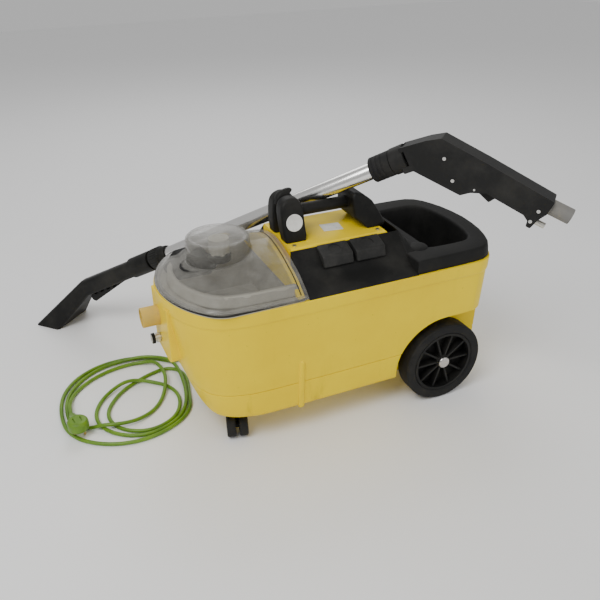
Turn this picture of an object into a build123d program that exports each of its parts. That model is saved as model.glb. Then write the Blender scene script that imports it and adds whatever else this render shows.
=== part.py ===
from build123d import *
import math
import os

# Carpet cleaner: wheeled spray-extraction machine with its suction wand leaning on the carry handle.
# Machine axes: +X to the rear wheels, +Y to the far side, +Z up, the floor at z = 0.

# Overall body
front_x = -318.0
rear_x = 360.0
rear_bow = 40.0
body_half = 157.0
rim_z = 312.0
floor_gap = 65.0
seam_z = 128.0
wall = 4.0
gap = 0.4
sit = 0.05
front_radius = 200.0
corner_r = 60.0
rear_corner_r = 34.0
lean_mid_z = 200.0
bottom_half = 137.0
bottom_front_x = -268.0
mid_front_x = -305.0
band_height = 27.0
band_proud = 2.0
panel_y = (-52.0, 60.0)
panel_low_z = 176.0
rib_x = -91.0
rib_r = 7.0
rib_z = (66.0, 178.0)

# Raised deck and its handle
deck_z = 375.5
deck_half = 70.0
deck_x = (-77.0, 150.6)
deck_break = (124.0, 345.0)
bar_r = 12.0
bar_z = 421.0
front_post = ((-75.0, 375.55), (-79.4, 405.0), (-78.5, 456.0), (-64.0, 466.0), (-45.0, 463.0),
              (-33.0, 452.0), (-27.0, 375.55))
rear_post = ((93.0, 375.55), (68.0, 396.0), (68.0, 446.0), (74.0, 450.0), (104.0, 437.0), (124.0, 414.0),
             (124.0, 375.55))
post_half = 46.0
post_top_half = 30.0
post_top_z = 466.0

# Control console and its two push pads
console_x = (-79.0, 150.0)
ledge = (118.0, 325.0)
slope_foot = (107.0, 338.0)
pad_width = 62.0
pad_starts = (-27.0, 42.0)
pad_travel = 1.4
pad_stem_r = 5.0

# Rear accessory tray
tray_x = (151.0, 366.0)
tray_z = 338.0
well_x = (205.0, 322.0)
well_lead_in = 24.0
well_half = 106.0
well_floor_z = 214.0

# Lid and turret
lid_rear_x = -80.0
lid_wall = 3.0
flange_z = 318.0
seat_z = 312.05
tank_lip = 1.6
seal_thick = 1.4
turret_x = -195.0
turret_r = 60.5
turret_z = 400.0

# Rear wheels and axle
axle_x = 230.0
wheel_r = 88.7
wheel_outer_y = 156.0
wheel_width = 42.0
tyre_depth = 20.4
axle_r = 6.0
run_gap = 0.06
arch_r = 106.0
arch_half = 108.0
overhang_z = 195.0

# Casters
caster_x = -204.0
caster_y = 66.0
caster_trail = 20.0
caster_r = 24.0
caster_width = 42.0
caster_turn = -14.5
stem_r = 5.0
caster_pin_r = 3.0

# Front fittings
port_y = 25.0
port_z = 247.0
port_r = 19.5
port_bore_r = 16.2
port_reach = 34.0
spray_z = 197.0
spray_r = 7.0
spray_reach = 18.0
nose_length = 7.0
collar_length = 6.0

# Suction turbine
fan_x = 24.0

# Wand: its line crosses the handle bar at wand_x
wand_x = 46.0
wand_yaw = -47.0
wand_pitch = 28.0
pipe_r = 16.0
pipe_wall = 1.2
pipe_start = -508.0
pipe_end = 116.0
bar_gap = 0.35
socket_gap = 0.15
mouth_half = 58.0
mouth_s = (-790.0, -718.0)
mouth_wall = 3.0
grip_half = 21.0
cuff_r = 14.0
cuff_fall = math.radians(21)
cuff_dir = (math.cos(cuff_fall), 0, -math.sin(cuff_fall))

# Mains lead
lead_r = 4.0
coil_height = 24.0
gland_x = -150.0
gland_z = 108.0
gland_reach = 34.0
lead_points = (
    (-150, 206, 108), (-156, 230, 86), (-168, 238, 50), (-186, 236, 20), (-214, 231.2, 4.05), (-237, 222, 4.05),
)
coil_outline = (
    (-264, 14), (-301, -8), (-335, -24), (-375, -34), (-411, -34), (-445, -26), (-482, -6), (-512, 22),
    (-529, 56), (-534, 98), (-532, 146), (-517, 202), (-470, 260), (-422, 283),
    (-366, 287), (-314, 274), (-272, 250), (-241, 232), (-233, 212),
)
plug_spot = (-500.0, 43.0)
plug_turn = 97.0
plug_r = 21.0
plug_z = (19.4, 41.0)
neck_x = (14.0, 63.0)
neck_z = (30.0, 12.2)
pin_spread = 9.5

os.makedirs("parts", exist_ok=True)


def half_at(z):
    """Half-width of the tapering body at height z."""
    return bottom_half + (body_half - bottom_half) * (z - floor_gap) / (rim_z - floor_gap)


def front_at(z):
    """Foremost x of the body at height z: steep above lean_mid_z, drawn in below it."""
    if z <= lean_mid_z:
        return bottom_front_x + (mid_front_x - bottom_front_x) * (z - floor_gap) / (lean_mid_z - floor_gap)
    return mid_front_x + (front_x - mid_front_x) * (z - lean_mid_z) / (rim_z - lean_mid_z)


def plan(front, half, rear, z, corner=corner_r, rear_corner=rear_corner_r, tail=0.0):
    """Body plan: bowed front, straight sides, four rounded corners and a tail bowed by that much."""
    bow = max(front_radius, 1.05 * half)
    sag = bow - math.sqrt(bow ** 2 - half ** 2)
    nose = ThreePointArc((front + sag, -half), (front, 0), (front + sag, half))
    near_side = Line((front + sag, -half), (rear - tail, -half))
    far_side = Line((rear - tail, half), (front + sag, half))
    back = Line((rear, -half), (rear, half))
    if tail:
        back = ThreePointArc((rear - tail, -half), (rear, 0), (rear - tail, half))
    face = make_face(Curve() + [nose, near_side, back, far_side])
    middle = (front + rear) / 2
    face = fillet(face.vertices().filter_by(lambda v: v.X < middle), corner)
    face = fillet(face.vertices().filter_by(lambda v: v.X > middle and v.Y * v.Y > (half - 1) ** 2
                                            and v.X > rear - tail - 1), rear_corner)
    return Pos(0, 0, z) * face


def body_plan(z, inset=0.0):
    return plan(front_at(z) + inset, half_at(z) - inset, rear_x - inset, z,
                corner_r - inset, rear_corner_r - inset, rear_bow)


def body_block(z_low, z_high, inset=0.0):
    """Solid slice of the tapering body between two heights."""
    heights = [z_low] + [lean_mid_z] * (z_low < lean_mid_z < z_high) + [z_high]
    return loft([body_plan(z, inset).face() for z in heights], ruled=True)


def box(x, y, z):
    """Box from its (low, high) pairs."""
    size = [b - a for a, b in (x, y, z)]
    middle = [(a + b) / 2 for a, b in (x, y, z)]
    return Pos(*middle) * Box(*size)


def rod(radius, start, direction, length):
    """Cylinder from start along direction."""
    return Plane(origin=start, z_dir=direction) * Pos(0, 0, length / 2) * Cylinder(radius, length)


def prism_x(points, x):
    """Extrude a y, z outline along X."""
    face = make_face(Polyline(*[(x[0], y, z) for y, z in points], close=True))
    return extrude(face, amount=x[1] - x[0], dir=(1, 0, 0))


def prism_y(points, y):
    """Extrude an x, z outline along Y."""
    face = make_face(Polyline(*[(px, y[0], pz) for px, pz in points], close=True))
    return extrude(face, amount=y[1] - y[0], dir=(0, 1, 0))


def wheel_wells(grow=0.0):
    """The two wheel spaces, each an arch that opens to the rear under the overhang."""
    reach = body_half + 40
    depth = reach - (arch_half - grow)
    wells = []
    for side in (-1, 1):
        middle = side * (reach + arch_half - grow) / 2
        arch = Pos(axle_x, middle, wheel_r) * Rot(90, 0, 0) * Cylinder(arch_r + grow, depth)
        back = Pos(axle_x + 120, middle, overhang_z / 2 - 10) * Box(240, depth, overhang_z + 20 + 2 * grow)
        wells.append(arch + back)
    return wells[0] + wells[1]


def base_pan():
    """Yellow lower shell with the axle and caster bosses."""
    top = seam_z - gap
    outer = body_block(floor_gap, top) - wheel_wells()
    inner = body_block(floor_gap + wall, top + 1, wall) - wheel_wells(wall)
    pan = outer - inner
    for side in (-1, 1):
        boss = rod(14, (caster_x, side * caster_y, floor_gap), (0, 0, 1), 34)
        pan = pan + boss
        pan = pan - rod(stem_r + run_gap, (caster_x, side * caster_y, floor_gap - 1), (0, 0, 1), 30)
        pad = rod(17, (axle_x, side * (arch_half - wall - 12), wheel_r), (0, side, 0), 12 + wall)
        pan = pan + pad
    pan = pan - rod(axle_r + 3, (axle_x, -arch_half - 5, wheel_r), (0, 1, 0), 2 * arch_half + 10)
    hole = rod(7.0, (gland_x, half_at(gland_z) - 12, gland_z), (0, 1, 0), 30)
    return pan - hole


def body_shell():
    """Yellow upper shell with its proud rim band, port panel and rear overhang."""
    outer = body_block(seam_z, rim_z)
    band_low = rim_z - band_height
    band = loft([plan(front_at(z) - band_proud, half_at(z) + band_proud, rear_x + band_proud, z,
                      corner_r + band_proud, rear_corner_r + band_proud, rear_bow).face()
                 for z in (band_low, rim_z)], ruled=True)
    inner = body_block(seam_z - 1, rim_z + 1, wall) - wheel_wells(wall)
    panel = box((front_x - 1, front_x + 40), panel_y, (panel_low_z, band_low + 5))
    shell = (outer + panel + band) - wheel_wells() - inner
    shell = shell - rod(port_r, (front_x - 30, port_y, port_z), (1, 0, 0), 60)
    return shell - rod(spray_r, (front_x - 30, port_y, spray_z), (1, 0, 0), 70)


def side_ribs():
    """Two half-round moulded ribs down the body's sides."""
    body = body_block(floor_gap, rib_z[1] + 2)
    ribs = []
    for side in (-1, 1):
        ends = [(Pos(rib_x, side * half_at(z), z) * Circle(rib_r)).face() for z in rib_z]
        ribs.append(loft(ends, ruled=True) - body)
    return ribs[0] + ribs[1]


def deck_cover():
    """Raised yellow deck between the consoles, hollow beneath."""
    low_z = rim_z + gap
    outline = [(deck_x[0], low_z), (deck_x[0], deck_z), (deck_break[0], deck_z), (deck_x[1], deck_break[1]),
               (deck_x[1], low_z)]
    outer = prism_y(outline, (-deck_half, deck_half))
    outer = fillet(outer.edges().filter_by(Axis.X).group_by(Axis.Z)[-1], 5)
    hollow_x = (deck_x[0] + wall, deck_break[0] - wall)
    inner = box(hollow_x, (wall - deck_half, deck_half - wall), (rim_z - 1, deck_z - wall))
    rear_x_span = (deck_break[0] - wall - 1, deck_x[1] - wall)
    inner_rear = box(rear_x_span, (wall - deck_half, deck_half - wall), (rim_z - 1, deck_break[1] - wall))
    return outer - inner - inner_rear


def console_side(side):
    """Black side console: ledge, steep face and slope up to the deck."""
    edge = deck_half + gap
    outline = [(body_half, rim_z + gap), ledge, slope_foot, (edge, deck_z - 4), (edge, rim_z + gap)]
    inner = [(body_half - 14, rim_z - 1), (ledge[0] - 2, ledge[1] - 5), (slope_foot[0] - 5, slope_foot[1] - 5),
             (edge + wall, deck_z - 14), (edge + wall, rim_z - 1)]
    solid = prism_x([(side * y, z) for y, z in outline], console_x)
    hollow = prism_x([(side * y, z) for y, z in inner], (console_x[0] + wall, console_x[1] - wall))
    solid = solid - hollow
    if side < 0:
        for start in pad_starts:
            stem = pad_axis(start)
            solid = solid - rod(pad_stem_r + 0.3, stem - pad_normal() * 30, tuple(pad_normal()), 60)
    return solid


def pad_normal():
    """Outward normal of the sloped face that carries the pads."""
    rise = (deck_z - 4) - slope_foot[1]
    run = slope_foot[0] - (deck_half + gap)
    return Vector(0, -rise, run).normalized()


def pad_axis(start):
    """Middle of a pad on the sloped face."""
    edge = deck_half + gap
    return Vector(start + pad_width / 2, -(slope_foot[0] + edge) / 2, (slope_foot[1] + deck_z - 4) / 2)


def switch_pad(start):
    """Wedge-shaped push pad with its stem."""
    lift = pad_normal() * (pad_travel + 1.0)
    foot = (-slope_foot[0] + lift.Y, slope_foot[1] + lift.Z)
    top = (-(deck_half + gap + 0.6), deck_z - 4 + lift.Z)
    outline = [foot, (-104.0 + lift.Y * 0.3, 362.0), (-(deck_half + gap + 0.6), deck_z - 0.5), top]
    wedge = prism_x(outline, (start, start + pad_width))
    wedge = fillet(wedge.edges().filter_by(Axis.X).sort_by(Axis.Y)[:1], 1)
    base = pad_axis(start) + lift
    stem = rod(pad_stem_r, base - pad_normal() * 20, tuple(pad_normal()), 24)
    return wedge + stem


def tray_frame():
    """Black rear tray: sloping frame and the open accessory well."""
    top = plan(front_x, body_half - 5, tray_x[1] - 4, tray_z, corner_r, 40, rear_bow)
    low = plan(front_x, body_half + 1, tray_x[1], rim_z + gap, corner_r, 40, rear_bow)
    block = loft([low.face(), top.face()], ruled=True)
    block = block & box((tray_x[0], tray_x[1] + 5), (-200, 200), (rim_z, tray_z + 10))
    outer = loft([
        (Pos((well_x[0] + well_x[1] - well_lead_in) / 2, 0, rim_z + 2)
         * RectangleRounded(well_x[1] - well_x[0] + well_lead_in + 6, 2 * well_half + 6, 22)).face(),
        (Pos((well_x[0] + well_x[1]) / 2, 0, well_floor_z)
         * RectangleRounded(well_x[1] - well_x[0] + 6, 2 * well_half - 8, 18)).face(),
    ], ruled=True)
    inner = loft([
        (Pos((well_x[0] + well_x[1] - well_lead_in) / 2, 0, tray_z + 5)
         * RectangleRounded(well_x[1] - well_x[0] + well_lead_in, 2 * well_half, 20)).face(),
        (Pos((well_x[0] + well_x[1]) / 2, 0, well_floor_z + 3)
         * RectangleRounded(well_x[1] - well_x[0], 2 * well_half - 14, 16)).face(),
    ], ruled=True)
    under = box((tray_x[0] + wall, well_x[0] - well_lead_in - 8), (-well_half, well_half), (rim_z - 5, tray_z - wall))
    return (block + outer) - inner - under


def lid_section(z, ky, kx, inset=0.0):
    reach = lid_rear_x - front_x
    return plan(lid_rear_x - reach * kx + inset, body_half * ky - inset, lid_rear_x + 60, z, 34 * ky, 10).face()


lid_profile = ((flange_z, 1.0, 1.0), (328.0, 0.9, 0.955), (341.0, 0.78, 0.89), (354.0, 0.59, 0.78),
               (365.0, 0.4, 0.6), (373.0, 0.22, 0.4))


def dome_lid():
    """Clear lid: flange, domed cover and the raised round turret."""
    outer = loft([lid_section(z, ky, kx) for z, ky, kx in lid_profile], ruled=True)
    inner = loft([lid_section(z - lid_wall, ky, kx, lid_wall) for z, ky, kx in lid_profile], ruled=True)
    low_z = seat_z + tank_lip + seal_thick + 2 * sit
    flange = extrude(lid_section(low_z, 1.0, 1.0), amount=flange_z - low_z)
    opening = extrude(lid_section(rim_z - 5, 0.96, 0.97), amount=flange_z - rim_z + 5.1)
    shell = (outer + flange) - inner - opening
    shell = shell + (box((lid_rear_x - lid_wall, lid_rear_x), (-body_half, body_half), (low_z, 400)) & (outer + flange))
    tower = rod(turret_r, (turret_x, 0, 345), (0, 0, 1), turret_z - 345)
    tower = fillet(tower.edges().group_by(Axis.Z)[-1], 8)
    core = rod(turret_r - lid_wall, (turret_x, 0, 330), (0, 0, 1), turret_z - lid_wall - 330)
    shell = (shell + (tower - inner)) - core
    return shell & box((front_x - 10, lid_rear_x), (-200, 200), (rim_z, 420))


def waste_tank():
    """Grey inner tank under the lid, open at the top with a resting flange."""
    outer = loft([plan(front_x + 26, body_half - 22, lid_rear_x - 2, z, 40, 16).face()
                  for z in (210, seat_z + tank_lip)], ruled=True)
    inner = loft([plan(front_x + 29, body_half - 25, lid_rear_x - 5, z, 37, 13).face()
                  for z in (213, rim_z + 3)], ruled=True)
    flange = extrude(plan(front_x + 1, body_half - 1, lid_rear_x - 1, seat_z, corner_r, 12).face(), amount=tank_lip)
    tank = (outer + flange) - inner
    return tank - rod(port_bore_r + 3.2, (front_x + 20, port_y, port_z), (1, 0, 0), 20)


def intake_pipe():
    """Suction inlet stub and the elbow that carries the air into the tank."""
    stub = rod(port_r, (front_x + 2 - port_reach, port_y, port_z), (1, 0, 0), port_reach + 20)
    inner = rod(port_bore_r, (front_x - 10 - port_reach, port_y, port_z), (1, 0, 0), port_reach + 60)
    return stub - inner


def spray_coupling():
    """Quick coupling body for the spray hose."""
    body = rod(spray_r, (front_x - spray_reach, port_y, spray_z), (1, 0, 0), 40)
    nose = rod(9.5, (front_x - 1 - nose_length, port_y, spray_z), (1, 0, 0), nose_length)
    return (body + nose) - rod(3.5, (front_x - 40, port_y, spray_z), (1, 0, 0), 90)


def coupling_collar():
    """Spring-loaded release collar at the mouth of the coupling."""
    ring = rod(10.5, (front_x - spray_reach + 1, port_y, spray_z), (1, 0, 0), collar_length)
    return ring - rod(spray_r + run_gap, (front_x - 40, port_y, spray_z), (1, 0, 0), 40)


def handle():
    """Two moulded posts, narrowing upward, joined by the round carry bar."""
    taper = prism_x([(-post_half, deck_z - 1), (post_half, deck_z - 1), (post_top_half, post_top_z + 1),
                     (-post_top_half, post_top_z + 1)], (-100, 160))
    front = prism_y(front_post, (-post_half, post_half)) & taper
    rear = prism_y(rear_post, (-post_half, post_half)) & taper
    bar = rod(bar_r, (-40, 0, bar_z), (1, 0, 0), 115)
    return front + rear + bar


def tyre(side):
    ring = rod(wheel_r, (axle_x, side * (wheel_outer_y - wheel_width), wheel_r), (0, side, 0), wheel_width)
    ring = fillet(ring.edges().filter_by(GeomType.CIRCLE), 5)
    return ring - rod(wheel_r - tyre_depth, (axle_x, 0, wheel_r), (0, side, 0), 200)


def wheel_rim(side):
    """Ribbed plastic wheel centre running on the axle."""
    seat = wheel_r - tyre_depth - sit
    inner_y = wheel_outer_y - wheel_width
    ring = rod(seat, (axle_x, side * (inner_y + 2), wheel_r), (0, side, 0), wheel_width - 4)
    ring = ring - rod(seat - 6, (axle_x, 0, wheel_r), (0, side, 0), 200)
    disc = rod(seat - 3, (axle_x, side * (inner_y + 14), wheel_r), (0, side, 0), 5)
    hub = rod(15, (axle_x, side * (inner_y + 1), wheel_r), (0, side, 0), wheel_width - 6)
    centre = ring + disc + hub
    for i in range(10):
        rib = Pos(axle_x, side * (inner_y + 26), wheel_r) * Rot(0, 36 * i, 0) * Pos(38, 0, 0) * Box(50, 20, 4)
        centre = centre + rib
    bore = rod(axle_r + run_gap, (axle_x, 0, wheel_r), (0, side, 0), 200)
    return centre - bore


def hub_cap(side):
    """Domed press-on cap over the axle end."""
    inner_y = wheel_outer_y - wheel_width
    face_y = inner_y + wheel_width - 5
    cap = rod(13, (axle_x, side * (face_y + sit), wheel_r), (0, side, 0), 8)
    cap = fillet(cap.edges().filter_by(GeomType.CIRCLE).sort_by(lambda e: side * e.center().Y)[-1:], 5)
    return cap - rod(axle_r + 1.0, (axle_x, side * (face_y - 1), wheel_r), (0, side, 0), 5)


def axle():
    end = wheel_outer_y - 2.5
    return rod(axle_r, (axle_x, -end, wheel_r), (0, 1, 0), 2 * end)


def axle_bushes():
    bushes = []
    for side in (-1, 1):
        sleeve = rod(axle_r + 3, (axle_x, side * (arch_half - wall - 12), wheel_r), (0, side, 0), 12 + wall)
        head = rod(axle_r + 6, (axle_x, side * arch_half, wheel_r), (0, side, 0), 1.5)
        bushes.append((sleeve + head) - rod(axle_r + run_gap, (axle_x, 0, wheel_r), (0, side, 0), 200))
    return Compound(children=[b for bush in bushes for b in bush.solids()])


def caster_frame(side):
    """Place on the caster's swivel axis, turned as it trails."""
    return Pos(caster_x, side * caster_y, 0) * Rot(0, 0, caster_turn)


def caster_fork(side):
    """Swivel stem, round cap and the web between the twin rollers."""
    stem = Pos(0, 0, floor_gap + 12) * Cylinder(stem_r, 32)
    cap = Pos(0, 0, floor_gap - 4) * Cylinder(14, 7)
    web = prism_y([(-12, floor_gap - 5), (12, floor_gap - 5), (10, 40), (-2, 18), (-14, 14)], (-3, 3))
    web = Rot(0, 0, 90) * web
    hub = Rot(0, 90, 0) * Cylinder(7, 6)
    web = web + Pos(0, -caster_trail, caster_r) * hub
    fork = stem + cap + web
    pin_hole = Pos(0, -caster_trail, caster_r) * Rot(0, 90, 0) * Cylinder(caster_pin_r, 20)
    return caster_frame(side) * (fork - pin_hole)


def caster_pin(side):
    pin = Pos(0, -caster_trail, caster_r) * Rot(0, 90, 0) * Cylinder(caster_pin_r, caster_width - 4)
    return caster_frame(side) * pin


def caster_rollers(side):
    """Twin rollers, one each side of the web."""
    rollers = []
    wide = caster_width / 2 - 3.5
    for hand in (-1, 1):
        roller = Pos(hand * (3.5 + wide / 2), -caster_trail, caster_r) * Rot(0, 90, 0) * Cylinder(caster_r, wide)
        roller = fillet(roller.edges().filter_by(GeomType.CIRCLE), 3)
        bore = Pos(0, -caster_trail, caster_r) * Rot(0, 90, 0) * Cylinder(caster_pin_r + run_gap, caster_width - 2)
        rollers.append(caster_frame(side) * (roller - bore))
    return Compound(children=[s for r in rollers for s in r.solids()])


def fresh_tank():
    """Blow-moulded clean-water tank in the bottom of the body."""
    outer = fillet(box((-236, 96), (-112, 112), (102, 190)).edges(), 12)
    inner = fillet(box((-233, 93), (-109, 109), (105, 187)).edges(), 9)
    return outer - inner - rod(20, (-20, -60, 180), (0, 0, 1), 20)


def tank_filter():
    """Mesh strainer cup in the tank's mouth."""
    cup = rod(19.5, (-20, -60, 150), (0, 0, 1), 42) - rod(17.5, (-20, -60, 152), (0, 0, 1), 45)
    return cup + (rod(24, (-20, -60, 190.1), (0, 0, 1), 2.5) - rod(17.5, (-20, -60, 185), (0, 0, 1), 10))


def turbine_housing():
    """Round volute can of the suction turbine."""
    can = rod(62, (fan_x, 0, 212), (0, 0, 1), 78) - rod(58, (fan_x, 0, 216), (0, 0, 1), 70)
    return can - rod(18, (fan_x, 0, 200), (0, 0, 1), 30) - rod(7, (fan_x, 0, 280), (0, 0, 1), 20)


def turbine_fan():
    """Impeller: backplate, eight vanes and the motor shaft."""
    fan = rod(54, (fan_x, 0, 250), (0, 0, 1), 3) + rod(5, (fan_x, 0, 240), (0, 0, 1), 80)
    fan = fan + rod(12, (fan_x, 0, 225), (0, 0, 1), 26)
    for i in range(8):
        fan = fan + Pos(fan_x, 0, 238) * Rot(0, 0, 45 * i) * Pos(32, 0, 0) * Rot(0, 0, 25) * Box(36, 2.5, 26)
    return fan


def motor_can():
    can = rod(42, (fan_x, 0, 291), (0, 0, 1), 72) - rod(38, (fan_x, 0, 295), (0, 0, 1), 64)
    return can - rod(7, (fan_x, 0, 285), (0, 0, 1), 12)


def spray_pump():
    """Vibration pump with its coil housing."""
    body = fillet(box((128, 188), (-26, 26), (140, 190)).edges(), 4)
    return body + rod(9, (188, 0, 165), (1, 0, 0), 12) + rod(9, (116, 0, 165), (1, 0, 0), 14)


def air_duct():
    """Duct from the waste tank to the turbine eye."""
    path = FilletPolyline((-60, 0, 201.0), (fan_x, 0, 201.0), (fan_x, 0, 211.5), radius=5)
    return sweep(Plane(origin=(-60, 0, 201.0), z_dir=(1, 0, 0)) * Circle(4.5), path=path)


def float_cage():
    """Black float housing hanging in the turret."""
    top = turret_z - lid_wall - sit
    cage = rod(19, (turret_x, -6, 352), (0, 0, 1), top - 352) - rod(16, (turret_x, -6, 355), (0, 0, 1), top - 358)
    for i in range(3):
        cage = cage - Pos(turret_x, -6, 362) * Rot(0, 0, 60 * i) * Box(60, 12, 14)
    return cage


def float_ball():
    return Pos(turret_x, -6, 369.5) * Sphere(14)


def lid_seal():
    """Flat rubber gasket between rim and lid."""
    low_z = seat_z + tank_lip + sit
    outer = plan(front_x + 1, body_half - 1, lid_rear_x - 1, low_z, corner_r, 12)
    inner = plan(front_x + 7, body_half - 7, lid_rear_x - 7, low_z, corner_r - 6, 8)
    return extrude(outer.face(), amount=seal_thick) - Pos(0, 0, -1) * extrude(inner.face(), amount=5)


def deck_plate():
    """Blank rating plate on the deck under the bar."""
    return Pos(36, -8, deck_z + 0.45) * Rot(0, 0, -8) * Box(40, 34, 0.8)


def deck_screws():
    heads = []
    for x in (deck_x[0] + 12, deck_break[0] - 12):
        for y in (-58, 58):
            heads.append(Pos(x, y, deck_z + 0.8) * Cylinder(4, 1.6))
    return Compound(children=heads)


# Wand pieces are drawn about the point where the wand crosses the bar: s along, n across, z up
slope = math.radians(wand_pitch)
cross_z = bar_z + (bar_r + pipe_r + bar_gap) * math.sqrt(
    math.cos(slope) ** 2 * math.sin(math.radians(wand_yaw)) ** 2 + math.sin(slope) ** 2
) / (math.cos(slope) * abs(math.sin(math.radians(wand_yaw))))
wand_dir = (math.cos(slope), 0, math.sin(slope))


def wand_axis(s):
    """Point on the pipe's axis at distance s along the ground line."""
    return (s, 0, cross_z + s * math.tan(slope))


def wand_rod(radius, s, length):
    return rod(radius, wand_axis(s), wand_dir, length)


def wand_pipe():
    length = (pipe_end - pipe_start) / math.cos(slope)
    return wand_rod(pipe_r, pipe_start, length) - wand_rod(pipe_r - pipe_wall, pipe_start - 5, length + 20)


def nozzle_section(s, across, tall, lean):
    plane = Plane(origin=wand_axis(s), x_dir=(0, 1, 0), z_dir=(math.cos(lean), 0, math.sin(lean)))
    return (plane * RectangleRounded(across, tall, 0.3 * min(across, tall))).face()


def nozzle_body():
    """Hand nozzle: pipe socket, straight neck, fan to the mouth and the slotted web below."""
    knee_s, socket_s = -652.0, -500.0
    mouth_mid = (mouth_s[0] + mouth_s[1]) / 2
    mouth_long = mouth_s[1] - mouth_s[0]

    def mouth(inset):
        shape = RectangleRounded(mouth_long - 2 * inset, 2 * (mouth_half - inset), 9 - inset)
        return (Pos(mouth_mid, 0, 0.8) * shape).face()

    def axis_z(s):
        return wand_axis(s)[2]

    neck = loft([nozzle_section(socket_s, 36, 38, slope), nozzle_section(knee_s, 38, 40, slope)], ruled=True)
    neck_hole = loft([nozzle_section(socket_s + 1, 30, 32, slope), nozzle_section(knee_s, 31, 33, slope)], ruled=True)
    fan = loft([nozzle_section(knee_s, 38, 40, slope), mouth(0)], ruled=True)
    fan_hole = loft([nozzle_section(knee_s, 31, 33, slope), mouth(mouth_wall)], ruled=True)
    throat = extrude(mouth(mouth_wall), amount=-4)
    socket_len = 64.0
    socket = wand_rod(24, socket_s - 1, socket_len) - wand_rod(pipe_r + socket_gap, socket_s - 8, socket_len + 20)
    web = prism_y([(-632, axis_z(-632) - 15), (-640, 88), (-634, 79), (-625, 78), (-500, axis_z(-500) - 15)], (-7, 7))
    for i in range(6):
        s = -622 + 20 * i
        web = web - Plane(origin=(s, 0, axis_z(s) - 24), z_dir=(0, 1, 0), x_dir=wand_dir) * Box(11, 6, 40)
    body = (neck + fan + web) - neck_hole - fan_hole - throat
    return (body - wand_rod(pipe_r + socket_gap, socket_s - 8, 30)) + socket


def nozzle_nut():
    """Knurled union nut that clamps the nozzle to the pipe."""
    s = -442.0
    nut = wand_rod(23, s, 44) - wand_rod(pipe_r + socket_gap, s - 10, 70)
    for i in range(16):
        angle = math.radians(22.5 * i)
        across = Vector(0, 1, 0)
        upward = Vector(-math.sin(slope), 0, math.cos(slope))
        spot = Vector(*wand_axis(s)) + across * (23.4 * math.cos(angle)) + upward * (23.4 * math.sin(angle))
        nut = nut - rod(1.6, tuple(spot), wand_dir, 44)
    return nut


def spray_jet():
    """Brass spray tip at the front of the mouth."""
    s = mouth_s[0] + 10
    return rod(5, (s, 0, 5), (0.55, 0, 0.83), 16) - rod(1, (s, 0, 4), (0.55, 0, 0.83), 10)


def grip_sleeve():
    """Ribbed rubber collar where the pipe enters the grip."""
    sleeve = wand_rod(24, 78, 41) - wand_rod(pipe_r + 0.02, 70, 80)
    for i in range(3):
        ring = wand_rod(25, 84 + 8 * i, 2.2) - wand_rod(22.8, 80 + 8 * i, 12)
        sleeve = sleeve - ring
    return sleeve


def grip_ring():
    ring = wand_rod(25, 115, 28)
    return ring - wand_rod(pipe_r + 0.02, 100, 80)


def grip_body():
    """Bent pistol grip: elbow, top ridge, finger gap and the tail that holds the hose cuff."""
    outline = [(141, 503), (158, 511), (244, 477), (262, 484), (290, 486), (307, 478), (356, 456), (364, 446),
               (362, 436), (370, 433), (381, 450), (394, 462), (404, 485), (284, 540), (203, 575), (176, 568),
               (127, 549)]
    body = prism_y(outline, (-grip_half, grip_half))
    body = fillet(body.edges().filter_by(Axis.Y), 3)
    body = body - cuff_rod(cuff_r + 0.05, -24, 60) - wand_rod(25.05, 60, (143.4 - 60) / math.cos(slope))
    body = body - rod(5.25, (370, 0, 441.77), cuff_dir, 30)
    hollow = prism_y([(160, 525), (244, 492), (340, 474), (352, 498), (284, 528), (203, 560), (176, 550)],
                     (4 - grip_half, grip_half - 4))
    body = body - hollow
    trigger_slot = prism_y([(254, 466), (308, 458), (314, 494), (258, 502)], (-7.6, 7.6))
    return body - trigger_slot - rod(2.0, (268, -40, 490), (0, 1, 0), 80)


def cuff_rod(radius, start, length):
    return rod(radius, (394 + start * cuff_dir[0], 0, 471 + start * cuff_dir[2]), cuff_dir, length)


def hose_cuff():
    """Grey hose cuff pressed into the grip's tail."""
    return cuff_rod(cuff_r, -20, 62) - cuff_rod(cuff_r - 3, -30, 90)


def trigger():
    """Spray trigger on its cross pin."""
    outline = [(262, 494), (260, 486), (272, 482), (293, 465), (304, 474), (300, 481), (280, 493)]
    lever = prism_y(outline, (-6.6, 6.6))
    return lever - rod(2.06, (268, -20, 490), (0, 1, 0), 40)


def trigger_pin():
    return rod(2.0, (268, -grip_half, 490), (0, 1, 0), 2 * grip_half)


def wand_coupler():
    """Small quick connector for the spray hose under the grip's tail."""
    return rod(5.2, (372, 0, 441), cuff_dir, 22) - rod(2.4, (386, 0, 435.6), cuff_dir, 22)


def grip_screws():
    heads = []
    for s, z in ((211, 540), (229, 502), (380, 466), (369, 446)):
        heads.append(Pos(s, -grip_half - 0.55, z) * Rot(90, 0, 0) * Cylinder(3.2, 1.0))
    return Compound(children=heads)


# Mains lead pieces
def gland():
    """Strain-relief gland through the far wall of the base pan."""
    wall_y = half_at(gland_z)
    flange = rod(11, (gland_x, wall_y + 1.6, gland_z), (0, 1, 0), 5)
    stem = rod(6.9, (gland_x, wall_y - 12, gland_z), (0, 1, 0), 14)
    cone_start = 6.0
    cone_length = gland_reach - cone_start
    cone = Plane(origin=(gland_x, wall_y + cone_start, gland_z), z_dir=(0, 1, 0)) * Pos(0, 0, cone_length / 2)
    cone = cone * Cone(8, 5.5, cone_length)
    return flange + stem + cone


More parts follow.
